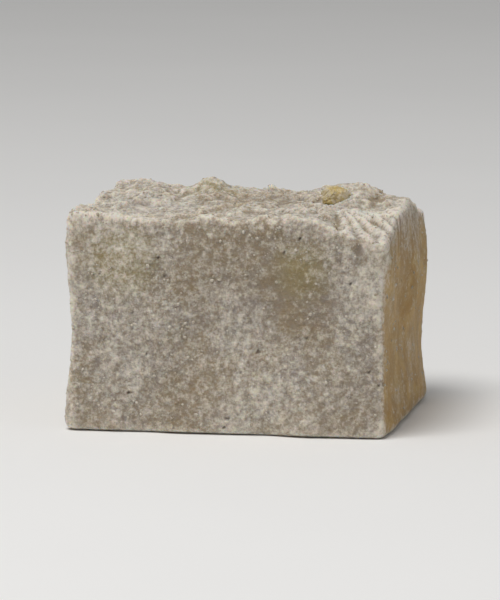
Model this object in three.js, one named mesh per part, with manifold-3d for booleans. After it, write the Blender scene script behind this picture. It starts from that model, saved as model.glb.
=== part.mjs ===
// A hand-cut block of Turkish delight: firm nut jelly, cut from a slab and rolled in starch.
// Nuts just under the skin push up lumps in the top, one top corner was dragged down in folds
// by the knife, and the sides have sagged in a little over a wider foot. Four nut pieces
// break through the surface, each in its own pocket.
// Millimetres. X runs along the widest cut face, which faces -Y, and Z is up.

import * as THREE from "three";
import { mergeVertices } from "three/addons/utils/BufferGeometryUtils.js";
import Module from "manifold-3d";

const wasm = await Module();
wasm.setup();

// The block, as cut
const WIDTH = 30.4;
const DEPTH = 24.4;
const HEIGHT = 20.4;
const CUT_EDGE_RADIUS = 0.75;
const FOOT_EDGE_RADIUS = 0.6;
const PLAN_SLANT = 0.015;
const CELL = 1.05;
const EDGE_CROWDING = 0.45;

// How the soft block has settled
const FOOT_SPREAD = 0.25;
const FOOT_RISE = 7;
const WAIST = 0.15;
const TOP_ZONE = 5;
const FIRM_BASE = 2.5;

// Starch has caked into a low lip along the top edges.
const LIP = 0.3;
const LIP_REACH = 1.6;

// The unevenness of the cut faces, as crossing waves
const WAVE_COUNT = 14;
const WAVE_HEIGHT = 0.055;
const SHORTEST_WAVE = 4;
const LONGEST_WAVE = 13;
const WAVE_SEED = 11;

// Lumps and hollows of the top. A negative rise is a hollow.
const TOP_LUMPS = [
  { x: -11.6, y: 7.6, rise: 1.3, reach: 1.9 },
  { x: -11.2, y: -0.5, rise: 1.2, reach: 1.8 },
  { x: -8.4, y: 9.4, rise: -0.8, reach: 1.8 },
  { x: -5.2, y: 7.4, rise: 1.4, reach: 1.9 },
  { x: -3.2, y: 1.0, rise: 0.9, reach: 1.7 },
  { x: -6.6, y: -6.4, rise: -0.6, reach: 2.6 },
  { x: 2.8, y: 9.0, rise: -1.3, reach: 2.6 },
  { x: 1.6, y: -3.6, rise: 0.6, reach: 1.9 },
  { x: 6.8, y: 7.4, rise: 0.8, reach: 1.6 },
  { x: 9.8, y: 3.4, rise: 1.7, reach: 2.5 },
  { x: 10.4, y: 9.0, rise: 0.9, reach: 1.9 },
  { x: 6.6, y: -8.6, rise: 0.6, reach: 2.0 },
  { x: 14.6, y: 11.0, rise: -1.8, reach: 4.2 },
  { x: 14.8, y: -11.6, rise: -1.7, reach: 4.8 },
];

// Folds that fan out from the ridge nut over the dragged corner, in plan
const FOLDS = [
  { from: [9.2, -3.4], to: [10.3, -10.6], depth: 0.75, reach: 1 },
  { from: [11.2, -2.9], to: [13.0, -8.2], depth: 0.75, reach: 1 },
  { from: [12.4, -0.6], to: [13.6, -3.0], depth: 0.55, reach: 0.95 },
];

// Nuts under the skin of the sides, as bulges along a face's normal
const SIDE_BULGES = [
  { at: [-10.0, -12.2, 16.4], rise: 0.35, reach: 3.0 },
  { at: [7.4, -12.2, 16.0], rise: 0.35, reach: 2.2 },
  { at: [0.5, -12.2, 9.0], rise: -0.25, reach: 4.0 },
  { at: [11.6, -12.2, 5.4], rise: 0.3, reach: 2.4 },
  { at: [15.2, 3.0, 12.5], rise: 0.4, reach: 3.2 },
  { at: [15.2, -5.5, 6.5], rise: -0.3, reach: 3.0 },
  { at: [-15.2, -6.0, 7.5], rise: 0.45, reach: 3.0 },
  { at: [-11.0, 12.2, 6.5], rise: 0.4, reach: 3.2 },
  { at: [11.8, 12.2, 15.0], rise: 0.4, reach: 2.8 },
];

// Nut pieces that break the surface. half holds the half sizes along the nut's own axes,
// turn its angles in degrees, and a flush nut was cut off level with the face.
const NUT_GAP = 0.3;
const NUT_DETAIL = 4;
const NUTS = [
  {
    name: "nut_top_ridge",
    kind: "pistachio",
    at: [8.2, 1.2, 20.95],
    half: [1.45, 0.95, 1.1],
    turn: [12, 6, 18],
    flush: false,
  },
  {
    name: "pistachio_left",
    kind: "pistachio",
    at: [-14.2, 3.2, 11.6],
    half: [3.4, 4.2, 2.8],
    turn: [24, 0, 12],
    flush: true,
  },
  {
    name: "walnut_back",
    kind: "walnut",
    at: [4.4, 10.3, 10.2],
    half: [4.8, 2.9, 3.8],
    turn: [0, 18, 6],
    flush: false,
  },
  {
    name: "pistachio_back",
    kind: "pistachio",
    at: [-7.6, 11.2, 14.2],
    half: [2.9, 2.8, 1.9],
    turn: [0, -32, 10],
    flush: true,
  },
];
const PISTACHIO_TAPER = 0.22;
const WALNUT_LOBES = 5;
const WALNUT_FURROW = 0.09;
const WALNUT_TWIST = 2;
const WALNUT_SLANT = 3;

// Colours: starch over amber jelly, and the nuts' cut flesh
const STARCH = { color: 0xb8ab98, roughness: 0.95, metalness: 0 };
const PISTACHIO = { color: 0xb5a253, roughness: 0.65, metalness: 0 };
const WALNUT = { color: 0x9a6c36, roughness: 0.7, metalness: 0 };

const { clamp, degToRad, lerp, smoothstep, seededRandom } = THREE.MathUtils;

// A closed geometry as a solid, and back
function solidFrom(geometry) {
  const bare = geometry.clone();
  bare.deleteAttribute("normal");
  bare.deleteAttribute("uv");
  const merged = mergeVertices(bare, 1e-4);
  return new wasm.Manifold(
    new wasm.Mesh({
      numProp: 3,
      vertProperties: new Float32Array(merged.attributes.position.array),
      triVerts: new Uint32Array(merged.index.array),
    }),
  );
}

function geometryFrom(solid) {
  const { vertProperties, triVerts } = solid.getMesh();
  const geometry = new THREE.BufferGeometry();
  geometry.setAttribute("position", new THREE.BufferAttribute(vertProperties, 3));
  geometry.setIndex(new THREE.BufferAttribute(triVerts, 1));
  geometry.computeVertexNormals();
  return geometry;
}

// Moves every vertex of a geometry to where place puts it.
function reshape(geometry, place) {
  const position = geometry.attributes.position;
  const point = new THREE.Vector3();
  for (let i = 0; i < position.count; i++) {
    place(point.fromBufferAttribute(position, i));
    position.setXYZ(i, point.x, point.y, point.z);
  }
  return geometry;
}

// Crossing waves of random heading and length, the same ones each time
function makeWaves() {
  seededRandom(WAVE_SEED);
  return Array.from({ length: WAVE_COUNT }, () => {
    const along = 2 * Math.PI * seededRandom();
    const up = 2 * seededRandom() - 1;
    const flat = Math.sqrt(1 - up * up);
    const heading = new THREE.Vector3(flat * Math.cos(along), flat * Math.sin(along), up);
    const length = lerp(SHORTEST_WAVE, LONGEST_WAVE, seededRandom());
    return {
      heading: heading.multiplyScalar((2 * Math.PI) / length),
      start: 2 * Math.PI * seededRandom(),
    };
  });
}

const waves = makeWaves();

function unevenness(point) {
  return waves.reduce(
    (sum, wave) => sum + WAVE_HEIGHT * Math.sin(point.dot(wave.heading) + wave.start),
    0,
  );
}

const bell = (distance, reach) => Math.exp(-((distance / reach) ** 2));

const sumOver = (list, amount) => list.reduce((sum, item) => sum + amount(item), 0);

// Plan distance from x, y to the stretch between a fold's ends
function distanceToFold(x, y, fold) {
  const start = new THREE.Vector2(...fold.from);
  const along = new THREE.Vector2(...fold.to).sub(start);
  const offset = new THREE.Vector2(x, y).sub(start);
  const share = clamp(offset.dot(along) / along.lengthSq(), 0, 1);
  return offset.addScaledVector(along, -share).length();
}

function topRelief(x, y) {
  const lumps = sumOver(
    TOP_LUMPS,
    (lump) => lump.rise * bell(Math.hypot(x - lump.x, y - lump.y), lump.reach),
  );
  const folds = sumOver(FOLDS, (fold) => fold.depth * bell(distanceToFold(x, y, fold), fold.reach));
  const toEdge = Math.min(WIDTH / 2 - Math.abs(x), DEPTH / 2 - Math.abs(y));
  const lip = LIP * bell(Math.max(toEdge, 0), LIP_REACH);
  return lumps - folds + lip;
}

function sideRelief(point) {
  return sumOver(SIDE_BULGES, (bulge) => {
    const distance = point.distanceTo(new THREE.Vector3(...bulge.at));
    return bulge.rise * bell(distance, bulge.reach);
  });
}

// One coordinate of a box's surface, moved so that the vertices crowd towards the edges
function crowd(value, half) {
  const share = value / half;
  return half * lerp(share, Math.sin((share * Math.PI) / 2), EDGE_CROWDING);
}

// Rounds the edges of the box centred on the origin, and gives the outward direction there.
function roundEdge(point, half) {
  const radius = lerp(
    FOOT_EDGE_RADIUS,
    CUT_EDGE_RADIUS,
    smoothstep(point.z, -half.z, -half.z + FOOT_RISE),
  );
  const reach = half.clone().subScalar(radius);
  const core = point.clone().clamp(reach.clone().negate(), reach);
  const outward = point.clone().sub(core).normalize();
  point.copy(core).addScaledVector(outward, radius);
  return outward;
}

// The whole block before any nut is let into it, standing on Z = 0
function blockGeometry() {
  const half = new THREE.Vector3(WIDTH, DEPTH, HEIGHT).divideScalar(2);
  const cells = [WIDTH, DEPTH, HEIGHT].map((side) => Math.round(side / CELL));
  const box = new THREE.BoxGeometry(WIDTH, DEPTH, HEIGHT, ...cells);
  return reshape(box, (point) => {
    point.set(crowd(point.x, half.x), crowd(point.y, half.y), crowd(point.z, half.z));
    const outward = roundEdge(point, half);
    point.z += half.z;

    const height = point.z / HEIGHT;
    const footing = Math.max(0, 1 - point.z / FOOT_RISE) ** 2;
    const waist = 4 * height * (1 - height);
    const spread = FOOT_SPREAD * footing - WAIST * waist;
    const swell = unevenness(point) + sideRelief(point);
    const top = topRelief(point.x, point.y) * smoothstep(point.z, HEIGHT - TOP_ZONE, HEIGHT);

    point.x += outward.x * (spread + swell) + PLAN_SLANT * point.y;
    point.y += outward.y * (spread + swell);
    point.z += outward.z * swell * smoothstep(point.z, 0, FIRM_BASE) + top;
  });
}

// Nut shapes of radius 1, before they are stretched to their sizes
const NUT_SHAPES = {
  // Narrower towards one end
  pistachio(point) {
    const narrow = 1 - PISTACHIO_TAPER * point.x;
    point.y *= narrow;
    point.z *= narrow;
  },
  // Rounded lobes with furrows between them
  walnut(point) {
    const round = Math.atan2(point.z, point.x);
    const lobes = Math.cos(WALNUT_LOBES * round + WALNUT_TWIST * point.y);
    const ridges = Math.sin(WALNUT_LOBES * point.y + WALNUT_SLANT * point.x);
    point.multiplyScalar(1 + WALNUT_FURROW * (lobes + ridges));
  },
};

// A nut grown all round by extra, where it lies in the block
function nutGeometry(nut, extra) {
  const ball = new THREE.IcosahedronGeometry(1, NUT_DETAIL);
  const shape = reshape(ball, NUT_SHAPES[nut.kind]);
  shape.scale(...nut.half.map((half) => half + extra));
  const turn = new THREE.Euler(...nut.turn.map(degToRad));
  shape.applyMatrix4(new THREE.Matrix4().makeRotationFromEuler(turn));
  return shape.translate(...nut.at);
}

function namedMesh(name, solid, look) {
  const mesh = new THREE.Mesh(geometryFrom(solid), new THREE.MeshStandardMaterial(look));
  mesh.name = name;
  return mesh;
}

function nutMesh(nut, whole) {
  const nutSolid = solidFrom(nutGeometry(nut, 0));
  const shown = nut.flush ? nutSolid.intersect(whole) : nutSolid;
  return namedMesh(nut.name, shown, nut.kind === "walnut" ? WALNUT : PISTACHIO);
}

function turkishDelight() {
  const whole = solidFrom(blockGeometry());
  const block = NUTS.reduce(
    (rest, nut) => rest.subtract(solidFrom(nutGeometry(nut, NUT_GAP))),
    whole,
  );

  const group = new THREE.Group();
  group.name = "turkish_delight";
  group.add(namedMesh("jelly_block", block, STARCH));
  NUTS.forEach((nut) => group.add(nutMesh(nut, whole)));

  // The origin is under the middle of the outline, on the surface that the block stands on.
  const bounds = new THREE.Box3().setFromObject(group);
  const middle = bounds.getCenter(new THREE.Vector3());
  group.position.set(-middle.x, -middle.y, -bounds.min.z);
  return group;
}

export default turkishDelight();
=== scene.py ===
import math

import bmesh
import bpy
from bpy.props import FloatProperty, FloatVectorProperty, IntProperty, PointerProperty
from mathutils import Matrix, Vector


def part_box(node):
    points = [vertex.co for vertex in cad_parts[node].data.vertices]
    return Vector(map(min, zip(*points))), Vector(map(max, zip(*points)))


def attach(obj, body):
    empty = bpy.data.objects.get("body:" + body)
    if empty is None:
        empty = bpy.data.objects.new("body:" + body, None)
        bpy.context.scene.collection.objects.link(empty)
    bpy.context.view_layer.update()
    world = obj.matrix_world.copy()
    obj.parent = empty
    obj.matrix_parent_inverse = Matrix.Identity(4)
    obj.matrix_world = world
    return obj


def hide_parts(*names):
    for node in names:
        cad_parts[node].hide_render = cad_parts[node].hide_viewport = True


bl_info = {
    "name": "Turkish delight",
    "version": (1, 0, 0),
    "blender": (4, 5, 0),
    "location": "3D View > Sidebar > Delight",
    "description": "Dresses a hand-cut block of nut Turkish delight, rolled in starch",
    "category": "Object",
}

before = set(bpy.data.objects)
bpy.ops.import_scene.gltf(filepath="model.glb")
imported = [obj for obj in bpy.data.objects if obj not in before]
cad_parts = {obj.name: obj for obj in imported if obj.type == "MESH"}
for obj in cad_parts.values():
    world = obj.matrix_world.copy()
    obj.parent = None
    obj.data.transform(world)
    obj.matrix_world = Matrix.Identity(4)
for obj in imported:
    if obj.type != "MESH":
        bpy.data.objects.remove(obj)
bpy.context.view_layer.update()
BODY = "root"
MM = 0.001

BLOCK_NODE = "jelly_block"
RIDGE_NUT_NODE = "nut_top_ridge"
WALNUT_NODE = "walnut_back"
# The cut pistachios, each with the way that its cut face looks
CUT_PISTACHIO_NODES = {"pistachio_left": (-1, 0, 0), "pistachio_back": (0, 1, 0)}

BLOCK_LOW, BLOCK_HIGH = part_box(BLOCK_NODE)
BLOCK_MIDDLE = (BLOCK_LOW + BLOCK_HIGH) / 2
RIDGE_NUT_MIDDLE = (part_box(RIDGE_NUT_NODE)[0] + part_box(RIDGE_NUT_NODE)[1]) / 2
FRONT_Y = BLOCK_LOW.y
LEFT_X = BLOCK_LOW.x
RIGHT_X = BLOCK_HIGH.x
TOP_Z = BLOCK_HIGH.z

# Nuts that lie just under the skin and tint it, as centre and radius
SUNKEN_NUTS = [
    (Vector((BLOCK_MIDDLE.x - 10.0 * MM, FRONT_Y + 2.5 * MM, 16.4 * MM)), 2.2 * MM),
    (Vector((BLOCK_MIDDLE.x + 7.4 * MM, FRONT_Y + 2.4 * MM, 16.0 * MM)), 1.6 * MM),
    (Vector((BLOCK_MIDDLE.x - 5.2 * MM, 7.4 * MM, TOP_Z - 2.6 * MM)), 1.9 * MM),
    (Vector((RIGHT_X - 2.7 * MM, 3.0 * MM, 12.5 * MM)), 2.2 * MM),
    (Vector((RIGHT_X - 2.9 * MM, -5.5 * MM, 6.5 * MM)), 1.8 * MM),
    (Vector((LEFT_X + 2.6 * MM, -6.0 * MM, 7.5 * MM)), 2.2 * MM),
    (Vector((BLOCK_MIDDLE.x - 11.0 * MM, BLOCK_HIGH.y - 2.6 * MM, 6.5 * MM)), 2.2 * MM),
    (Vector((BLOCK_MIDDLE.x + 11.8 * MM, BLOCK_HIGH.y - 2.8 * MM, 15.0 * MM)), 2.0 * MM),
]

# Broad stretches where the starch lies thicker, or thinner if the amount is below 0, as
# centre, reach and amount
STARCH_DRIFTS = [
    (Vector((LEFT_X + 1.5 * MM, FRONT_Y, 18.5 * MM)), 7.5 * MM, 0.2),
    (Vector((BLOCK_MIDDLE.x + 6.5 * MM, FRONT_Y, 14.5 * MM)), 7.5 * MM, -0.22),
    (Vector((BLOCK_MIDDLE.x + 2.5 * MM, FRONT_Y, 4.0 * MM)), 8.0 * MM, 0.16),
    (Vector((RIGHT_X - 1.0 * MM, FRONT_Y, 14.0 * MM)), 5.0 * MM, 0.3),
    (Vector((BLOCK_MIDDLE.x, 2.0 * MM, TOP_Z)), 8.5 * MM, -0.32),
    (Vector((RIGHT_X - 4.0 * MM, -5.0 * MM, TOP_Z)), 5.5 * MM, 0.35),
    (Vector((LEFT_X, 5.0 * MM, 15.0 * MM)), 8.0 * MM, 0.2),
    (Vector((BLOCK_MIDDLE.x - 3.0 * MM, BLOCK_HIGH.y, 6.0 * MM)), 8.0 * MM, 0.2),
]

# The fan of folds round the ridge nut: how many folds a full turn would hold, how far they
# stray, the way that the fan's middle runs and its half width in radians, how far from the
# nut it begins and how far below the nut it ends
FOLDS_A_TURN = 45
FOLD_STRAY = 1.7
FAN_WAY = -0.92
FAN_HALF_WIDTH = 0.62
FAN_BEGINS = (2.5 * MM, 5.0 * MM)
FAN_ENDS = (-5.5 * MM, -3.0 * MM)

# The least and the most of a crumb's half sizes, as shares of its radius, and of its turn
CRUMB_SHAPES = ((0.8, 0.7, 0.5), (1.35, 1.1, 0.85))
CRUMB_TURNS = ((-0.4, -0.4, 0.0), (0.4, 0.4, 2 * math.pi))

# Where the lamps stand: azimuth and elevation in degrees, distance and size in metres
KEY_PLACE = {"way": (-30, 66), "distance": 0.55, "size": 0.28}
FILL_PLACE = {"way": (70, 25), "distance": 0.80, "size": 0.55}

# The photograph's frame
FRAME_WIDTH_PX = 500
FRAME_HEIGHT_PX = 600


def length(name, description, millimetres):
    """A length setting, given in millimetres and kept in metres."""
    return FloatProperty(
        name=name,
        description=description,
        default=millimetres * MM,
        min=0.0,
        precision=5,
        unit="LENGTH",
        subtype="DISTANCE",
    )


def share(name, description, default):
    """A setting from 0 to 1."""
    return FloatProperty(name=name, description=description, default=default, min=0.0, max=1.0)


def colour(name, description, red, green, blue):
    """A colour setting, given as the values that a picture shows, from 0 to 255."""

    def linear(value):
        value /= 255
        return value / 12.92 if value <= 0.04045 else ((value + 0.055) / 1.055) ** 2.4

    return FloatVectorProperty(
        name=name,
        description=description,
        default=(linear(red), linear(green), linear(blue), 1.0),
        size=4,
        min=0.0,
        max=1.0,
        subtype="COLOR",
    )


class BlockSettings(bpy.types.PropertyGroup):
    """The starched jelly block."""

    cell: length("Cell", "Size of the finished mesh's cells", 0.218)
    smoothing: IntProperty(name="Smoothing", description="Passes over the cut faces", default=6)
    cling_reach: length("Cling reach", "How far the jelly is drawn to a nut beside it", 0.55)
    granule_size: length("Granule size", "Across one granule of the coat", 0.5)
    granule_height: length("Granule height", "How far a granule stands out", 0.06)
    patch_size: length("Patch size", "Across one patch of whiter starch", 0.78)
    powder_size: length("Powder size", "Across one speck of powder", 0.3)
    tone_size: length("Tone size", "Across one cooler or warmer fleck", 0.9)
    mottle_size: length("Mottle size", "Across one mottle of the coat", 2.4)
    drift_size: length("Drift size", "Across one broad drift of starch", 7.0)
    clump_size: length("Clump size", "Across one caked clump of starch", 1.3)
    clump_height: length("Clump height", "How far a clump stands out", 0.12)
    flake_size: length("Flake size", "Across one raised flake of the top", 4.2)
    flake_height: length("Flake height", "How far a flake stands out", 0.4)
    crag_size: length("Crag size", "Across one crag of the top", 1.5)
    crag_height: length("Crag height", "How far the top's crags stand out", 0.26)
    fold_depth: length("Fold depth", "Depth of the folds at the dragged corner", 0.6)
    streak_size: length("Streak size", "Across one streak that the knife left", 1.5)
    pit_spacing: length("Pit spacing", "Between the pits of the skin", 1.5)
    pit_radius: length("Pit radius", "Radius of a pit", 0.2)
    pit_depth: length("Pit depth", "Depth of a pit", 0.22)
    starch_light: colour("Caked starch", "Thick dry starch", 230, 222, 208)
    starch_shade: colour("Thin starch", "Starch that the jelly shows through", 156, 140, 116)
    starch_cool: colour("Cool starch", "Starch over clear jelly", 153, 142, 131)
    jelly_light: colour("Light jelly", "Bare jelly near the skin", 192, 154, 84)
    jelly_dark: colour("Dark jelly", "Bare jelly where it is deep", 162, 125, 60)
    nut_tint: colour("Nut tint", "Skin over a sunken nut", 156, 142, 98)
    # Painted shade: the colour that darkens the inside of each pit
    pit_shade: colour("Pit", "Inside a pit", 84, 68, 50)


class CrumbSettings(bpy.types.PropertyGroup):
    """Loose crumbs of starch that stick to the block."""

    smallest: length("Smallest", "Radius of the smallest crumb", 0.05)
    largest: length("Largest", "Radius of the largest crumb", 0.2)
    per_square_mm: FloatProperty(
        name="Per square millimetre",
        description="Crumbs on each square millimetre of well covered skin",
        default=3.0,
        min=0.0,
    )
    seed: IntProperty(name="Seed", description="Which random scatter", default=5)
    light: colour("Light crumb", "The lightest crumbs", 214, 206, 192)
    shade: colour("Dark crumb", "The darkest crumbs", 172, 159, 140)


class NutSettings(bpy.types.PropertyGroup):
    """The nut pieces that break the surface."""

    wrinkle_size: length("Wrinkle size", "Across one wrinkle of a nut", 1.3)
    wrinkle_height: length("Wrinkle height", "Depth of the wrinkles", 0.24)
    break_size: length("Break size", "Across one facet of the broken ridge nut", 0.8)
    break_height: length("Break height", "How far its facets stand out", 0.36)
    furrow_height: length("Furrow height", "Depth of a walnut's furrows", 0.14)
    flesh_pale: colour("Pale flesh", "Cut pistachio at its middle", 214, 190, 122)
    flesh_green: colour("Green flesh", "Cut pistachio near its skin", 168, 154, 78)
    skin: colour("Pistachio skin", "Thin dry skin", 118, 76, 44)
    walnut_light: colour("Walnut flesh", "Cut walnut", 206, 162, 108)
    walnut_skin: colour("Walnut skin", "A walnut's papery skin", 166, 116, 66)
    # Painted shade: the deep brown that the walnut's furrows are darkened towards
    walnut_furrow_shade: colour("Walnut furrow", "Deep in a walnut's furrows", 112, 70, 36)
    dust: colour("Dust", "Starch dusted over a nut", 214, 205, 190)


class StageSettings(bpy.types.PropertyGroup):
    """The floor, the lights and the camera."""

    floor_colour: colour("Floor", "Plain pale floor", 246, 245, 243)
    floor_size: length("Floor size", "Along one side of the floor", 3000)
    azimuth: FloatProperty(
        name="Azimuth",
        description="Camera's turn round the block, from straight in front",
        default=math.radians(10),
        subtype="ANGLE",
    )
    elevation: FloatProperty(
        name="Elevation",
        description="Camera's angle above the floor",
        default=math.radians(9),
        subtype="ANGLE",
    )
    lens: FloatProperty(name="Lens", description="Focal length in millimetres", default=300.0)
    width_share: share("Width share", "Share of the picture's width that the block fills", 0.74)
    key_watts: FloatProperty(name="Key", description="Light above and in front", default=2.1)
    fill_watts: FloatProperty(name="Fill", description="Light from the right", default=0.2)
    sky: share("Sky", "Strength of the light from all round", 0.26)


class DelightSettings(bpy.types.PropertyGroup):
    """All the sizes and colours of the piece."""

    block: PointerProperty(type=BlockSettings)
    crumbs: PointerProperty(type=CrumbSettings)
    nuts: PointerProperty(type=NutSettings)
    stage: PointerProperty(type=StageSettings)


# Building node trees

def add_node(tree, kind, *values, **settings):
    """Adds a node. Each value fills the input at its place: a socket is linked, None is skipped."""
    node = tree.nodes.new(kind)
    for name, value in settings.items():
        setattr(node, name, value)
    for place, value in enumerate(values):
        put(tree, node.inputs[place], value)
    return node


def put(tree, socket, value):
    """Links a socket into an input, or sets the input's own value."""
    if isinstance(value, bpy.types.NodeSocket):
        tree.links.new(value, socket)
    elif value is not None:
        socket.default_value = value


def calc(tree, operation, *values, clamp=False):
    """A sum on single numbers."""
    node = add_node(tree, "ShaderNodeMath", *values, operation=operation, use_clamp=clamp)
    return node.outputs[0]


def vector_calc(tree, operation, *values):
    """A sum on vectors, with a vector as its result."""
    return add_node(tree, "ShaderNodeVectorMath", *values, operation=operation).outputs[0]


def scaled(tree, vector, amount):
    """A vector times a number."""
    node = add_node(tree, "ShaderNodeVectorMath", vector, operation="SCALE")
    put(tree, node.inputs["Scale"], amount)
    return node.outputs[0]


def measured(tree, operation, *values):
    """A sum on vectors, with a number as its result."""
    return add_node(tree, "ShaderNodeVectorMath", *values, operation=operation).outputs["Value"]


def parts(tree, vector):
    """The three numbers of a vector or a colour."""
    return add_node(tree, "ShaderNodeSeparateXYZ", vector).outputs


def remap(tree, value, low, high, to_low=0.0, to_high=1.0):
    """Maps low to high smoothly onto to_low to to_high, and holds the ends."""
    kind = "ShaderNodeMapRange"
    node = add_node(tree, kind, value, low, high, to_low, to_high, interpolation_type="SMOOTHSTEP")
    return node.outputs[0]


def noise(tree, place, size, detail=2.0, roughness=0.5, distortion=0.0):
    """Soft noise from 0 to 1, with features of about that size."""
    node = add_node(tree, "ShaderNodeTexNoise", place)
    put(tree, node.inputs["Scale"], per(tree, size))
    node.inputs["Detail"].default_value = detail
    node.inputs["Roughness"].default_value = roughness
    node.inputs["Distortion"].default_value = distortion
    return node.outputs["Fac"]


def per(tree, size):
    """One over a size, for a texture's scale."""
    return calc(tree, "DIVIDE", 1.0, size) if isinstance(size, bpy.types.NodeSocket) else 1 / size


def cells(tree, place, size, feature="F1", smoothness=0.4):
    """A cell pattern with cells of about that size: the node itself."""
    node = add_node(tree, "ShaderNodeTexVoronoi", place, feature=feature)
    put(tree, node.inputs["Scale"], per(tree, size))
    if feature == "SMOOTH_F1":
        node.inputs["Smoothness"].default_value = smoothness
    return node


def blend_colour(tree, factor, first, second):
    """A mix of two colours."""
    node = add_node(tree, "ShaderNodeMix", data_type="RGBA", clamp_factor=True)
    put(tree, node.inputs[0], factor)
    put(tree, node.inputs[6], first)
    put(tree, node.inputs[7], second)
    return node.outputs[2]


def weighted(tree, *pairs):
    """The sum of value times weight over the pairs."""
    total = None
    for value, weight in pairs:
        term = calc(tree, "MULTIPLY", value, weight)
        total = term if total is None else calc(tree, "ADD", total, term)
    return total


def centred(tree, value):
    """Moves noise from 0 to 1 onto -1 to 1."""
    return calc(tree, "MULTIPLY_ADD", value, 2.0, -1.0)


def new_geometry_tree(name, inputs):
    """An empty geometry tree with the given inputs, as name to (socket type, default)."""
    tree = bpy.data.node_groups.new(name, "GeometryNodeTree")
    tree.interface.new_socket("Geometry", in_out="INPUT", socket_type="NodeSocketGeometry")
    for label, (kind, default) in inputs.items():
        socket = tree.interface.new_socket(label, in_out="INPUT", socket_type=kind)
        if default is not None:
            socket.default_value = default
    tree.interface.new_socket("Geometry", in_out="OUTPUT", socket_type="NodeSocketGeometry")
    return tree, tree.nodes.new("NodeGroupInput").outputs


def end_geometry_tree(tree, geometry, material):
    """Ends a tree in Realize Instances and Set Material."""
    real = add_node(tree, "GeometryNodeRealizeInstances", geometry).outputs[0]
    smooth = add_node(tree, "GeometryNodeSetShadeSmooth", real).outputs[0]
    done = add_node(tree, "GeometryNodeSetMaterial", smooth, None, material).outputs[0]
    add_node(tree, "NodeGroupOutput", done)


def run_geometry_tree(piece, tree, values):
    """Puts a tree on a piece, with its inputs set by identifier."""
    modifier = piece.modifiers.new(tree.name, "NODES")
    modifier.node_group = tree
    for item in tree.interface.items_tree:
        if item.item_type == "SOCKET" and item.in_out == "INPUT" and item.name in values:
            modifier[item.identifier] = values[item.name]


def store(tree, geometry, name, value, data_type="FLOAT"):
    """Keeps a value on each point under a name, for the material to read."""
    kind = "GeometryNodeStoreNamedAttribute"
    node = add_node(tree, kind, geometry, data_type=data_type, domain="POINT")
    node.inputs["Name"].default_value = name
    put(tree, node.inputs["Value"], value)
    return node.outputs[0]


def blurred(tree, value, passes, kind="FLOAT_VECTOR"):
    """A field averaged over its neighbours."""
    node = add_node(tree, "GeometryNodeBlurAttribute", data_type=kind)
    socket = next(s for s in node.inputs if s.enabled and s.name == "Value")
    put(tree, socket, value)
    put(tree, node.inputs["Iterations"], passes)
    return next(s for s in node.outputs if s.enabled)


# Handling meshes

def merged_copy(node_name, piece_name):
    """A new object with a copy of a CAD node's mesh, its loose triangles joined."""
    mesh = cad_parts[node_name].data.copy()
    mesh.name = piece_name
    mesh.materials.clear()
    work = bmesh.new()
    work.from_mesh(mesh)
    bmesh.ops.remove_doubles(work, verts=work.verts, dist=0.001 * MM)
    work.to_mesh(mesh)
    work.free()
    return new_object(piece_name, mesh)


def new_object(name, mesh):
    """A linked object at the origin."""
    made = bpy.data.objects.new(name, mesh)
    bpy.context.scene.collection.objects.link(made)
    return made


def settle(piece):
    """Turns a piece with its modifiers into a plain mesh."""
    graph = bpy.context.evaluated_depsgraph_get()
    mesh = bpy.data.meshes.new_from_object(
        piece.evaluated_get(graph), preserve_all_data_layers=True, depsgraph=graph
    )
    piece.modifiers.clear()
    old, piece.data = piece.data, mesh
    bpy.data.meshes.remove(old)
    return piece


def remove_object(made):
    """Takes a helper out of the scene."""
    mesh = made.data
    bpy.data.objects.remove(made)
    bpy.data.meshes.remove(mesh)


def all_nut_nodes():
    """The names of the CAD nodes that are nuts."""
    return [RIDGE_NUT_NODE, WALNUT_NODE, *CUT_PISTACHIO_NODES]


def nut_target():
    """A helper that holds every nut that shows, for the jelly to cling to."""
    work = bmesh.new()
    for name in all_nut_nodes():
        work.from_mesh(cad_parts[name].data)
    mesh = bpy.data.meshes.new("nut_target")
    work.to_mesh(mesh)
    work.free()
    return new_object("nut_target", mesh)


def sunken_target():
    """A helper that holds the nuts under the skin, as balls."""
    work = bmesh.new()
    for centre, radius in SUNKEN_NUTS:
        place = Matrix.Translation(centre)
        bmesh.ops.create_icosphere(work, subdivisions=2, radius=radius, matrix=place)
    mesh = bpy.data.meshes.new("sunken_target")
    work.to_mesh(mesh)
    work.free()
    return new_object("sunken_target", mesh)


# Materials

def new_material(name):
    """A material with its tree, its Principled shader and Object coordinates."""
    material = bpy.data.materials.new(name)
    material.use_nodes = True
    tree = material.node_tree
    shader = next(n for n in tree.nodes if n.type == "BSDF_PRINCIPLED")
    place = add_node(tree, "ShaderNodeTexCoord").outputs["Object"]
    return material, tree, shader, place


def read(tree, name):
    """A number that the mesh carries under a name."""
    return add_node(tree, "ShaderNodeAttribute", attribute_name=name).outputs["Fac"]


def add_bump(tree, shader, height, depth):
    """Fine relief that is too small for the mesh."""
    bump = add_node(tree, "ShaderNodeBump")
    bump.inputs["Distance"].default_value = depth
    put(tree, bump.inputs["Height"], height)
    put(tree, shader.inputs["Normal"], bump.outputs["Normal"])


def granules(tree, place, size):
    """The coat's granules: how high each point is on its granule, and a number for each."""
    cell = cells(tree, place, size, "SMOOTH_F1", 0.25)
    dome = remap(tree, cell.outputs["Distance"], 0.12, 0.62, 1.0, 0.0)
    return dome, parts(tree, cell.outputs["Color"])[0]


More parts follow.
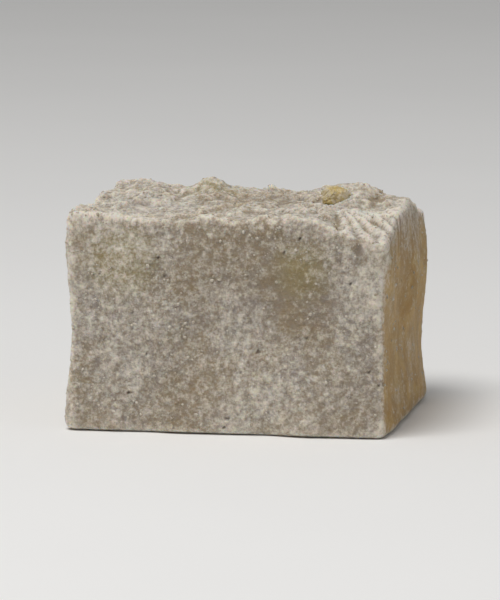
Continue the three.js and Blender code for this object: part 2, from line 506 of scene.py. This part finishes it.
def starch_colour(tree, place, s, patch, powder, mottle):
    """White where the coat is caked, and the colour of what lies behind it where it is thin. The
    white also holds painted highlight on the relief's crests, and painted shade darkens its hollows
    and fold grooves.
    """
    drift = noise(tree, place, s.drift_size, 2.0, 0.5)
    tone = noise(tree, place, s.tone_size, 2.0, 0.5)
    # Caked starch, plus painted highlight on the crests and painted shade in hollows and fold
    # grooves
    caked = weighted(
        tree,
        (patch, 0.58),
        (powder, 0.95),
        (mottle, 0.28),
        (centred(tree, drift), 0.4),
        # Painted highlight: whiter on the relief's crests, darker in its hollows
        (read(tree, "crest_highlight"), 0.4),
        (read(tree, "rub_and_shade"), 1.1),
        (-0.36, 1.0),
    )
    cool = weighted(tree, (remap(tree, drift, 0.38, 0.62), 0.6), (remap(tree, tone, 0.4, 0.6), 0.4))
    clear = blend_colour(tree, cool, s.starch_shade, s.starch_cool)
    nut = calc(tree, "MULTIPLY", read(tree, "tint"), 0.65)
    thin = blend_colour(tree, nut, clear, s.nut_tint)
    return blend_colour(tree, remap(tree, caked, -0.4, 0.95), thin, s.starch_light)


def starched_jelly_material(s):
    """Dry granular starch over amber jelly, which shows where the starch is thin."""
    material, tree, shader, _ = new_material("starched_jelly")
    place = add_node(tree, "ShaderNodeAttribute", attribute_name="rest").outputs["Vector"]
    patch = remap(tree, noise(tree, place, s.patch_size, 7.0, 0.7), 0.34, 0.66)
    powder = centred(tree, noise(tree, place, s.powder_size, 4.0, 0.75))
    mottle = centred(tree, noise(tree, place, s.mottle_size, 3.0, 0.6))

    cover = read(tree, "cover")
    thickness = weighted(tree, (cover, 1.0), (powder, 0.3), (mottle, 0.15), (patch, 0.15))
    coat = remap(tree, thickness, 0.1, 0.75)
    jelly = blend_colour(tree, remap(tree, mottle, -0.3, 0.4), s.jelly_dark, s.jelly_light)
    starch = starch_colour(tree, place, s, patch, powder, mottle)
    skin = blend_colour(tree, coat, jelly, starch)
    # Painted shade: each pit is darkened towards a deep brown
    pit = calc(tree, "MULTIPLY", read(tree, "pit"), 0.85)
    put(tree, shader.inputs["Base Color"], blend_colour(tree, pit, skin, s.pit_shade))

    put(tree, shader.inputs["Roughness"], calc(tree, "MULTIPLY_ADD", coat, 0.45, 0.5))
    shader.inputs["Subsurface Weight"].default_value = 0.6
    shader.inputs["Subsurface Radius"].default_value = (1.0, 0.6, 0.3)
    shader.inputs["Subsurface Scale"].default_value = 1.2 * MM
    shader.inputs["Specular IOR Level"].default_value = 0.3
    granule, _ = granules(tree, place, 0.32 * MM)
    crust = noise(tree, place, 0.16 * MM, 3.0, 0.7)
    fine = weighted(tree, (granule, 0.4), (crust, 0.6), (patch, 0.5))
    add_bump(tree, shader, calc(tree, "MULTIPLY", fine, coat), 0.12 * MM)
    return material


def crumb_material(s):
    """Loose crumbs of dry starch."""
    material, tree, shader, place = new_material("starch_crumb")
    grain = noise(tree, place, 0.9 * MM, 3.0, 0.7)
    colour_here = blend_colour(tree, remap(tree, grain, 0.35, 0.65), s.shade, s.light)
    put(tree, shader.inputs["Base Color"], colour_here)
    shader.inputs["Roughness"].default_value = 0.95
    shader.inputs["Specular IOR Level"].default_value = 0.2
    add_bump(tree, shader, noise(tree, place, 0.09 * MM, 2.0, 0.6), 0.03 * MM)
    return material


def dusted(tree, place, base, dust, amount):
    """Starch dust over a nut's own colour, in soft patches."""
    patch = remap(tree, noise(tree, place, 0.75 * MM, 4.0, 0.65), 0.36, 0.64)
    return blend_colour(tree, calc(tree, "MULTIPLY", patch, amount), base, dust)


def pistachio_material(s):
    """Cut pistachio: pale yellow flesh, greener towards a thin brown skin."""
    material, tree, shader, place = new_material("pistachio")
    skin, hollow = read(tree, "skin"), read(tree, "hollow")
    grain = noise(tree, place, 0.35 * MM, 4.0, 0.6)
    cloud = centred(tree, noise(tree, place, 1.6 * MM, 2.0, 0.5))
    green = weighted(tree, (remap(tree, skin, 0.02, 0.3), 0.7), (cloud, 1.0), (0.2, 1.0))
    flesh = blend_colour(tree, green, s.flesh_pale, s.flesh_green)
    speckled = blend_colour(tree, remap(tree, grain, 0.5, 0.8, 0.0, 0.4), flesh, s.flesh_green)
    whole = blend_colour(tree, remap(tree, skin, 0.2, 0.42), speckled, s.skin)
    shaded = blend_colour(tree, calc(tree, "MULTIPLY", hollow, 0.3), whole, s.skin)
    put(tree, shader.inputs["Base Color"], dusted(tree, place, shaded, s.dust, 0.7))
    shader.inputs["Roughness"].default_value = 0.55
    shader.inputs["Subsurface Weight"].default_value = 0.25
    shader.inputs["Subsurface Radius"].default_value = (1.0, 0.8, 0.35)
    shader.inputs["Subsurface Scale"].default_value = 0.7 * MM
    add_bump(tree, shader, noise(tree, place, 0.14 * MM, 3.0, 0.6), 0.04 * MM)
    return material


def walnut_material(s):
    """A walnut chunk: golden-brown flesh and papery skin, dusted with starch, with painted shade in
    its furrows.
    """
    material, tree, shader, place = new_material("walnut")
    hollow = read(tree, "hollow")
    grain = noise(tree, place, 0.4 * MM, 4.0, 0.65)
    cloud = noise(tree, place, 2.2 * MM, 3.0, 0.55)
    papery = blend_colour(tree, remap(tree, cloud, 0.4, 0.62), s.walnut_light, s.walnut_skin)
    veined = blend_colour(tree, remap(tree, grain, 0.45, 0.75, 0.0, 0.6), papery, s.walnut_skin)
    # Painted shade: darker in the furrows and wrinkle hollows
    shaded_furrows = blend_colour(tree, remap(tree, hollow, 0.3, 1.0, 0.0, 0.6), veined, s.walnut_furrow_shade)
    put(tree, shader.inputs["Base Color"], dusted(tree, place, shaded_furrows, s.dust, 0.6))
    shader.inputs["Roughness"].default_value = 0.6
    shader.inputs["Subsurface Weight"].default_value = 0.2
    shader.inputs["Subsurface Radius"].default_value = (1.0, 0.6, 0.3)
    shader.inputs["Subsurface Scale"].default_value = 0.6 * MM
    add_bump(tree, shader, noise(tree, place, 0.16 * MM, 3.0, 0.6), 0.06 * MM)
    return material


def floor_material(s):
    """A plain pale floor."""
    material, tree, shader, place = new_material("pale_floor")
    cloud = noise(tree, place, 40 * MM, 2.0, 0.5)
    shade = tuple(0.97 * part for part in s.floor_colour[:3]) + (1.0,)
    put(tree, shader.inputs["Base Color"], blend_colour(tree, cloud, tuple(s.floor_colour), shade))
    shader.inputs["Roughness"].default_value = 0.8
    return material


# The block

def nearest(tree, target, position):
    """The nearest place on another object's faces, and how far off it is."""
    info = add_node(tree, "GeometryNodeObjectInfo", target, transform_space="RELATIVE")
    near = add_node(tree, "GeometryNodeProximity", info.outputs["Geometry"], target_element="FACES")
    put(tree, near.inputs["Sample Position"], position)
    return near.outputs["Position"], near.outputs["Distance"]


def clinging(tree, position, nuts, reach):
    """How far each point near a nut is drawn to it, to close the pocket round it."""
    place, distance = nearest(tree, nuts, position)
    pull = remap(tree, distance, calc(tree, "MULTIPLY", reach, 0.7), reach, 1.55, 0.0)
    return scaled(tree, vector_calc(tree, "SUBTRACT", place, position), pull)


def faces_of(tree, normal):
    """How much each point belongs to the top, right, left and underside."""
    x, _, z = parts(tree, normal)
    away = {"top": (z, 1), "right": (x, 1), "left": (x, -1), "under": (z, -1)}
    return {
        name: remap(tree, calc(tree, "MULTIPLY", value, sign), 0.35, 0.85)
        for name, (value, sign) in away.items()
    }


def streaks(tree, position, size):
    """Upright streaks that the knife dragged through the starch, from -1 to 1."""
    stretched = vector_calc(tree, "MULTIPLY", position, (1.0, 1.0, 0.3))
    return centred(tree, noise(tree, stretched, size, 2.0, 0.5))


def starch_cover(tree, position, facing, edge, streak_size):
    """How thick the starch lies, from 0 to 1 and a little over. The right side has least."""
    flour = centred(tree, noise(tree, position, 2.2 * MM, 3.0, 0.6))
    drift = centred(tree, noise(tree, position, 6.5 * MM, 2.0, 0.5))
    uneven = weighted(tree, (flour, 0.3), (drift, 0.22))
    even = calc(tree, "MULTIPLY_ADD", facing["right"], -0.65, 1.0)
    streak = calc(tree, "MULTIPLY", streaks(tree, position, streak_size), facing["right"])
    # On the right side the cover rises towards the top: that side is lighter at the top and darker
    # towards the bottom
    upper = remap(tree, parts(tree, position)[2], 0.6 * TOP_Z, TOP_Z)
    return weighted(
        tree,
        (0.82, 1.0),
        (facing["top"], 0.15),
        (facing["right"], -0.6),
        (facing["left"], -0.1),
        (facing["under"], -0.1),
        (calc(tree, "MULTIPLY", uneven, even), 1.0),
        (streak, 0.22),
        (calc(tree, "MULTIPLY", upper, facing["right"]), 0.36),
        (edge, 0.35),
    )


def starch_drifts(tree, position):
    """How much thicker the starch lies over broad stretches."""
    drifts = []
    for centre, reach, amount in STARCH_DRIFTS:
        away = measured(tree, "DISTANCE", position, tuple(centre))
        drifts.append((remap(tree, away, 0.15 * reach, reach, 1.0, 0.0), amount))
    return weighted(tree, *drifts)


def fan_folds(tree, position):
    """Uneven folds that fan out from the ridge nut: how deep, and where the fan lies."""
    offset = vector_calc(tree, "SUBTRACT", position, tuple(RIDGE_NUT_MIDDLE))
    level = vector_calc(tree, "MULTIPLY", offset, (1.0, 1.0, 0.0))
    x, y, z = parts(tree, offset)
    angle = calc(tree, "ARCTAN2", y, x)
    aside = calc(tree, "ABSOLUTE", calc(tree, "SUBTRACT", angle, FAN_WAY))
    inside = remap(tree, aside, 0.6 * FAN_HALF_WIDTH, FAN_HALF_WIDTH, 1.0, 0.0)
    begun = remap(tree, measured(tree, "LENGTH", level), *FAN_BEGINS)
    high = remap(tree, z, *FAN_ENDS)
    fan = calc(tree, "MULTIPLY", inside, calc(tree, "MULTIPLY", begun, high))

    wander = centred(tree, noise(tree, position, 4.0 * MM, 3.0, 0.6))
    stray = calc(tree, "MULTIPLY", wander, FOLD_STRAY)
    turn = calc(tree, "MULTIPLY_ADD", angle, FOLDS_A_TURN / 2, stray)
    ridge = calc(tree, "ABSOLUTE", calc(tree, "SINE", turn))
    uneven = remap(tree, noise(tree, level, 2.6 * MM, 1.0, 0.5), 0.35, 0.6, 0.6, 1.0)
    fold = calc(tree, "MULTIPLY", calc(tree, "SUBTRACT", 1.0, ridge), uneven)
    return calc(tree, "MULTIPLY", fold, fan), fan


def crags(tree, position, given, facing, fold, fan):
    """Height of the top's raised flakes, finer crags and folds."""
    broad = noise(tree, position, given["Flake Size"], 3.0, 0.55, 0.3)
    flake = remap(tree, broad, 0.46, 0.56, -0.5, 0.5)
    fine = centred(tree, noise(tree, position, given["Crag Size"], 4.0, 0.6, 0.4))
    height = weighted(tree, (flake, given["Flake Height"]), (fine, given["Crag Height"]))
    calm = calc(tree, "MULTIPLY", height, calc(tree, "MULTIPLY_ADD", fan, -0.85, 1.0))
    folded = calc(tree, "SUBTRACT", calm, calc(tree, "MULTIPLY", fold, given["Fold Depth"]))
    return calc(tree, "MULTIPLY", folded, calc(tree, "MULTIPLY_ADD", facing["top"], 0.9, 0.1))


def pits(tree, position, spacing, radius):
    """Small round pits, one in a few cells."""
    cell = cells(tree, position, spacing)
    distance = calc(tree, "MULTIPLY", cell.outputs["Distance"], spacing)
    here = remap(tree, distance, calc(tree, "MULTIPLY", radius, 0.35), radius, 1.0, 0.0)
    pick = parts(tree, cell.outputs["Color"])[0]
    return calc(tree, "MULTIPLY", here, remap(tree, pick, 0.48, 0.53))


def caked_relief(tree, position, given, cover):
    """Height of the coat's granules and clumps."""
    dome, number = granules(tree, position, given["Granule Size"])
    granule = calc(tree, "MULTIPLY", dome, calc(tree, "MULTIPLY_ADD", number, 0.7, 0.5))
    clump = remap(tree, noise(tree, position, given["Clump Size"], 3.0, 0.55), 0.44, 0.64)
    coat = weighted(tree, (granule, given["Granule Height"]), (clump, given["Clump Height"]))
    return calc(tree, "MULTIPLY", coat, cover)


def rubbing_and_shade(tree, position, facing, proud, edge, fold, fan):
    """How much more starch is caked on, or how much of it is rubbed off if below 0. It also holds
    painted shade, lower in the skin's hollows and in the fold grooves.
    """
    hollow = remap(tree, proud, -0.12 * MM, 0.0, 1.0, 0.0)
    return weighted(
        tree,
        (edge, 0.45),
        # Painted shade: hollows in the skin are made darker
        (hollow, -0.35),
        (facing["top"], 0.12),
        # Partly thinner starch, partly painted shade: the fold grooves are made darker
        (fold, -0.75),
        (fan, 0.3),
        (starch_drifts(tree, position), 1.0),
    )


def crest_of(tree, height):
    """How much each point stands out from the relief around it, for the painted highlight on
    crests.
    """
    level = blurred(tree, height, 5, "FLOAT")
    return remap(tree, calc(tree, "SUBTRACT", height, level), -0.06 * MM, 0.1 * MM)


# The relief's inputs that are lengths, each from the setting of the same name
RELIEF_LENGTHS = (
    "Cling Reach",
    "Granule Size",
    "Granule Height",
    "Clump Size",
    "Clump Height",
    "Flake Size",
    "Flake Height",
    "Crag Size",
    "Crag Height",
    "Fold Depth",
    "Streak Size",
    "Pit Spacing",
    "Pit Radius",
    "Pit Depth",
)


def setting_name(label):
    """The setting that an input with this label takes its value from."""
    return label.lower().replace(" ", "_")


def smooth_and_cling(tree, given):
    """The block with its cut faces smoothed and its jelly drawn to the nuts."""
    position = add_node(tree, "GeometryNodeInputPosition").outputs[0]
    even = blurred(tree, position, given["Smoothing"])
    smoothed = add_node(tree, "GeometryNodeSetPosition", given["Geometry"], None, even).outputs[0]
    pull = clinging(tree, position, given["Nuts"], given["Cling Reach"])
    return add_node(tree, "GeometryNodeSetPosition", smoothed, None, None, pull).outputs[0]


def relief_tree(material):
    """Smooths the cut faces, draws the jelly to the nuts and raises the caked starch."""
    inputs = {"Nuts": ("NodeSocketObject", None), "Sunken": ("NodeSocketObject", None)}
    inputs["Smoothing"] = ("NodeSocketInt", 1)
    inputs |= {label: ("NodeSocketFloat", MM) for label in RELIEF_LENGTHS}
    tree, given = new_geometry_tree("starch_relief", inputs)
    block = smooth_and_cling(tree, given)

    position = add_node(tree, "GeometryNodeInputPosition").outputs[0]
    normal = add_node(tree, "GeometryNodeInputNormal").outputs[0]
    facing = faces_of(tree, blurred(tree, normal, 3))
    proud = standing_proud(tree, position, normal)
    edge = remap(tree, proud, 0.0, 0.16 * MM)
    fold, fan = fan_folds(tree, position)
    cover = starch_cover(tree, position, facing, edge, given["Streak Size"])
    pit = pits(tree, position, given["Pit Spacing"], given["Pit Radius"])
    height = weighted(
        tree,
        (caked_relief(tree, position, given, cover), 1.0),
        (crags(tree, position, given, facing, fold, fan), 1.0),
        (calc(tree, "MULTIPLY", pit, -1.0), given["Pit Depth"]),
    )
    off_floor = remap(tree, parts(tree, position)[2], 0.2 * MM, 1.2 * MM)
    height = calc(tree, "MULTIPLY", height, off_floor)

    marks = {
        "cover": cover,
        # Painted highlight on the relief's crests
        "crest_highlight": crest_of(tree, height),
        # Starch caked on or rubbed off, with painted shade in hollows and fold grooves
        "rub_and_shade": rubbing_and_shade(tree, position, facing, proud, edge, fold, fan),
        "pit": pit,
        "tint": nut_tint(tree, position, given["Sunken"]),
    }
    kept = store(tree, block, "rest", position, "FLOAT_VECTOR")
    for name, value in marks.items():
        kept = store(tree, kept, name, value)
    offset = scaled(tree, normal, height)
    raised = add_node(tree, "GeometryNodeSetPosition", kept, None, None, offset).outputs[0]
    end_geometry_tree(tree, raised, material)
    return tree


def standing_proud(tree, position, normal):
    """How far each point stands out from the skin around it."""
    around = vector_calc(tree, "SUBTRACT", position, blurred(tree, position, 14))
    return measured(tree, "DOT_PRODUCT", around, normal)


def nut_tint(tree, position, sunken):
    """How much a sunken nut shows through the skin."""
    _, distance = nearest(tree, sunken, position)
    return remap(tree, distance, 0.5 * MM, 2.8 * MM, 1.0, 0.0)


def make_block(s):
    """The starched jelly block, in place of its CAD solid."""
    piece = merged_copy(BLOCK_NODE, "starched_block")
    remesh = piece.modifiers.new("cells", "REMESH")
    remesh.mode = "VOXEL"
    remesh.voxel_size = s.cell
    nuts, sunken = nut_target(), sunken_target()
    values = {"Nuts": nuts, "Sunken": sunken, "Smoothing": s.smoothing}
    values |= {label: getattr(s, setting_name(label)) for label in RELIEF_LENGTHS}
    run_geometry_tree(piece, relief_tree(starched_jelly_material(s)), values)
    settle(piece)
    remove_object(nuts)
    remove_object(sunken)
    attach(piece, BODY)
    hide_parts(BLOCK_NODE)
    return piece


# The crumbs

def crumb_places(tree, given):
    """Points on the skin, more of them where the starch lies thick: the node itself."""
    cover = add_node(tree, "GeometryNodeInputNamedAttribute", "cover", data_type="FLOAT").outputs[0]
    position = add_node(tree, "GeometryNodeInputPosition").outputs[0]
    patch = remap(tree, noise(tree, position, 2.2 * MM, 2.0), 0.38, 0.66, 0.12, 1.0)
    off_floor = remap(tree, parts(tree, position)[2], 0.8 * MM, 1.4 * MM)
    wanted = calc(tree, "MULTIPLY", calc(tree, "MULTIPLY", cover, patch), off_floor)
    spread = add_node(tree, "GeometryNodeDistributePointsOnFaces", given["Geometry"])
    put(tree, spread.inputs["Density"], calc(tree, "MULTIPLY", wanted, given["Per Area"]))
    put(tree, spread.inputs["Seed"], given["Seed"])
    return spread


def crumb_radius(tree, given):
    """A random radius, small for most crumbs."""
    chance = add_node(tree, "FunctionNodeRandomValue", data_type="FLOAT")
    put(tree, chance.inputs["Seed"], given["Seed"])
    rare = calc(tree, "POWER", chance.outputs[1], 2.5)
    span = calc(tree, "SUBTRACT", given["Largest"], given["Smallest"])
    return calc(tree, "MULTIPLY_ADD", rare, span, given["Smallest"])


def random_vector(tree, least, most):
    """A random vector for each point."""
    kind = "FunctionNodeRandomValue"
    return add_node(tree, kind, least, most, data_type="FLOAT_VECTOR").outputs[0]


def crumb_tree(material):
    """Scatters small flattened crumbs over the covered skin."""
    inputs = {
        "Per Area": ("NodeSocketFloat", 1e6),
        "Smallest": ("NodeSocketFloat", 0.1 * MM),
        "Largest": ("NodeSocketFloat", 0.2 * MM),
        "Seed": ("NodeSocketInt", 1),
    }
    tree, given = new_geometry_tree("starch_crumbs", inputs)
    spread = crumb_places(tree, given)
    turned = add_node(
        tree,
        "FunctionNodeRotateRotation",
        spread.outputs["Rotation"],
        random_vector(tree, *CRUMB_TURNS),
        rotation_space="LOCAL",
    ).outputs[0]
    ball = add_node(tree, "GeometryNodeMeshIcoSphere", 1.0, 1).outputs[0]
    size = scaled(tree, random_vector(tree, *CRUMB_SHAPES), crumb_radius(tree, given))
    placed = add_node(tree, "GeometryNodeInstanceOnPoints", spread.outputs["Points"], None, ball)
    put(tree, placed.inputs["Rotation"], turned)
    put(tree, placed.inputs["Scale"], size)
    end_geometry_tree(tree, placed.outputs[0], material)
    return tree


def make_crumbs(s):
    """Starch crumbs on the block, as one joined mesh."""
    piece = new_object("starch_crumbs", bpy.data.objects["starched_block"].data.copy())
    values = {
        "Per Area": s.per_square_mm / MM**2,
        "Smallest": s.smallest,
        "Largest": s.largest,
        "Seed": s.seed,
    }
    run_geometry_tree(piece, crumb_tree(crumb_material(s)), values)
    settle(piece)
    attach(piece, BODY)
    return piece


# The nuts

def nut_tree(name, material):
    """Wrinkles a nut, and keeps where its skin and its hollows are."""
    inputs = {
        "Cut Way": ("NodeSocketVector", (0, 0, 1)),
        "Flesh": ("NodeSocketFloat", 0.0),
        "Wrinkle Size": ("NodeSocketFloat", MM),
        "Wrinkle Height": ("NodeSocketFloat", 0.1 * MM),
        "Furrow Height": ("NodeSocketFloat", 0.0),
    }
    tree, given = new_geometry_tree(name, inputs)
    position = add_node(tree, "GeometryNodeInputPosition").outputs[0]
    normal = add_node(tree, "GeometryNodeInputNormal").outputs[0]
    cut = remap(tree, measured(tree, "DOT_PRODUCT", normal, given["Cut Way"]), 0.8, 0.97)
    bare = calc(tree, "SUBTRACT", 1.0, cut)
    skin = calc(tree, "MULTIPLY", blurred(tree, bare, 16, "FLOAT"), given["Flesh"])

    fine = centred(tree, noise(tree, position, given["Wrinkle Size"], 3.0, 0.6, 0.8))
    ridge = calc(tree, "ABSOLUTE", centred(tree, noise(tree, position, 1.9 * MM, 2.0, 0.5, 1.2)))
    furrow = remap(tree, ridge, 0.0, 0.22, 1.0, 0.0)
    held = calc(tree, "MULTIPLY_ADD", cut, -0.85, 1.0)
    height = weighted(
        tree,
        (calc(tree, "MULTIPLY", fine, held), given["Wrinkle Height"]),
        (calc(tree, "MULTIPLY", furrow, -1.0), given["Furrow Height"]),
    )
    deep = calc(tree, "MAXIMUM", furrow, remap(tree, fine, -0.1, -0.4))
    kept = store(tree, given["Geometry"], "skin", skin)
    kept = store(tree, kept, "hollow", deep)
    offset = scaled(tree, normal, height)
    raised = add_node(tree, "GeometryNodeSetPosition", kept, None, None, offset).outputs[0]
    end_geometry_tree(tree, raised, material)
    return tree


def make_nut(node_name, piece_name, tree, values):
    """A finely wrinkled nut, in place of its CAD solid."""
    piece = merged_copy(node_name, piece_name)
    finer = piece.modifiers.new("finer", "SUBSURF")
    finer.subdivision_type = "SIMPLE"
    finer.levels = finer.render_levels = 3
    run_geometry_tree(piece, tree, values)
    settle(piece)
    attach(piece, BODY)
    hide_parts(node_name)
    return piece


def make_pistachios(s):
    """The pale fragment on the ridge and the two cut kernels."""
    tree = nut_tree("pistachio_wrinkles", pistachio_material(s))
    values = {"Wrinkle Size": s.wrinkle_size, "Wrinkle Height": s.wrinkle_height}
    broken = {"Wrinkle Size": s.break_size, "Wrinkle Height": s.break_height, "Flesh": 0.0}
    make_nut(RIDGE_NUT_NODE, "ridge_nut", tree, broken)
    for node_name, way in CUT_PISTACHIO_NODES.items():
        own = values | {"Cut Way": way, "Flesh": 1.0}
        make_nut(node_name, f"{node_name}_kernel", tree, own)


def make_walnut(s):
    """The walnut chunk."""
    tree = nut_tree("walnut_wrinkles", walnut_material(s))
    values = {
        "Wrinkle Size": s.wrinkle_size,
        "Wrinkle Height": s.wrinkle_height,
        "Furrow Height": s.furrow_height,
    }
    make_nut(WALNUT_NODE, "walnut_chunk", tree, values)


# The stage

def make_floor(s):
    """A flat pale floor under the block."""
    half = s.floor_size / 2
    mesh = bpy.data.meshes.new("floor")
    corners = [(-half, -half, 0), (half, -half, 0), (half, half, 0), (-half, half, 0)]
    mesh.from_pydata(corners, [], [(0, 1, 2, 3)])
    mesh.materials.append(floor_material(s))
    floor = new_object("floor", mesh)


def add_area_light(name, watts, way, distance, size):
    """A soft square light that looks at the block from a way in degrees."""
    azimuth, elevation = (math.radians(angle) for angle in way)
    light = bpy.data.lights.new(name, "AREA")
    light.energy = watts
    light.size = size
    lamp = bpy.data.objects.new(name, light)
    bpy.context.scene.collection.objects.link(lamp)
    back = direction(azimuth, elevation)
    lamp.location = BLOCK_MIDDLE + back * distance
    lamp.rotation_euler = (-back).to_track_quat("-Z", "Y").to_euler()


def direction(azimuth, elevation):
    """From the block towards a point at that azimuth and elevation."""
    level = math.cos(elevation)
    return Vector((math.sin(azimuth) * level, -math.cos(azimuth) * level, math.sin(elevation)))


def make_lights(s):
    """A large soft light above, a weak one from the right, and light from all round."""
    add_area_light("key", s.key_watts, **KEY_PLACE)
    add_area_light("fill", s.fill_watts, **FILL_PLACE)
    world = bpy.data.worlds.new("studio")
    world.use_nodes = True
    background = world.node_tree.nodes["Background"]
    background.inputs["Color"].default_value = (1.0, 1.0, 1.0, 1.0)
    background.inputs["Strength"].default_value = s.sky
    bpy.context.scene.world = world


def make_camera(s):
    """A long lens at the photograph's viewing angle."""
    scene = bpy.context.scene
    data = bpy.data.cameras.new("camera")
    data.lens = s.lens
    camera = bpy.data.objects.new("camera", data)
    scene.collection.objects.link(camera)
    back = direction(s.azimuth, s.elevation)
    size = BLOCK_HIGH - BLOCK_LOW
    seen_width = size.x * math.cos(s.azimuth) + size.y * math.sin(s.azimuth)
    picture_width = data.sensor_width * FRAME_WIDTH_PX / FRAME_HEIGHT_PX
    distance = seen_width / s.width_share * s.lens / picture_width
    camera.location = BLOCK_MIDDLE + back * distance
    camera.rotation_euler = (-back).to_track_quat("-Z", "Y").to_euler()
    data.clip_start = distance * 0.01
    data.clip_end = distance * 10
    scene.camera = camera
    scene.view_settings.view_transform = "Standard"


def settings():
    """This scene's settings."""
    return bpy.context.scene.delight


class DELIGHT_OT_block(bpy.types.Operator):
    """Make the starched jelly block"""

    bl_idname = "delight.block"
    bl_label = "Starched block"

    def execute(self, context):
        make_block(settings().block)
        return {"FINISHED"}


class DELIGHT_OT_crumbs(bpy.types.Operator):
    """Scatter crumbs of starch over the block"""

    bl_idname = "delight.crumbs"
    bl_label = "Starch crumbs"

    def execute(self, context):
        make_crumbs(settings().crumbs)
        return {"FINISHED"}


class DELIGHT_OT_pistachios(bpy.types.Operator):
    """Make the pistachio pieces that break the surface"""

    bl_idname = "delight.pistachios"
    bl_label = "Pistachios"

    def execute(self, context):
        make_pistachios(settings().nuts)
        return {"FINISHED"}


class DELIGHT_OT_walnut(bpy.types.Operator):
    """Make the walnut chunk that breaks the surface"""

    bl_idname = "delight.walnut"
    bl_label = "Walnut"

    def execute(self, context):
        make_walnut(settings().nuts)
        return {"FINISHED"}


class DELIGHT_OT_stage(bpy.types.Operator):
    """Make the floor, the lights and the camera"""

    bl_idname = "delight.stage"
    bl_label = "Stage"

    def execute(self, context):
        make_floor(settings().stage)
        make_lights(settings().stage)
        make_camera(settings().stage)
        return {"FINISHED"}


OPERATORS = (
    DELIGHT_OT_block,
    DELIGHT_OT_crumbs,
    DELIGHT_OT_pistachios,
    DELIGHT_OT_walnut,
    DELIGHT_OT_stage,
)


class DELIGHT_PT_panel(bpy.types.Panel):
    """Lists the pieces of the Turkish delight"""

    bl_idname = "DELIGHT_PT_panel"
    bl_label = "Turkish delight"
    bl_space_type = "VIEW_3D"
    bl_region_type = "UI"
    bl_category = "Delight"

    def draw(self, context):
        for operator in OPERATORS:
            self.layout.operator(operator.bl_idname)


CLASSES = (
    BlockSettings,
    CrumbSettings,
    NutSettings,
    StageSettings,
    DelightSettings,
    *OPERATORS,
    DELIGHT_PT_panel,
)


def register():
    """Registers the classes and hangs the settings on the scene."""
    for item in CLASSES:
        bpy.utils.register_class(item)
    bpy.types.Scene.delight = PointerProperty(type=DelightSettings)


def unregister():
    """Takes the settings and the classes away again."""
    del bpy.types.Scene.delight
    for item in reversed(CLASSES):
        bpy.utils.unregister_class(item)


def main():
    """Makes every piece and the stage."""
    register()
    bpy.ops.delight.block()
    bpy.ops.delight.crumbs()
    bpy.ops.delight.pistachios()
    bpy.ops.delight.walnut()
    bpy.ops.delight.stage()


if __name__ == "__main__":
    main()
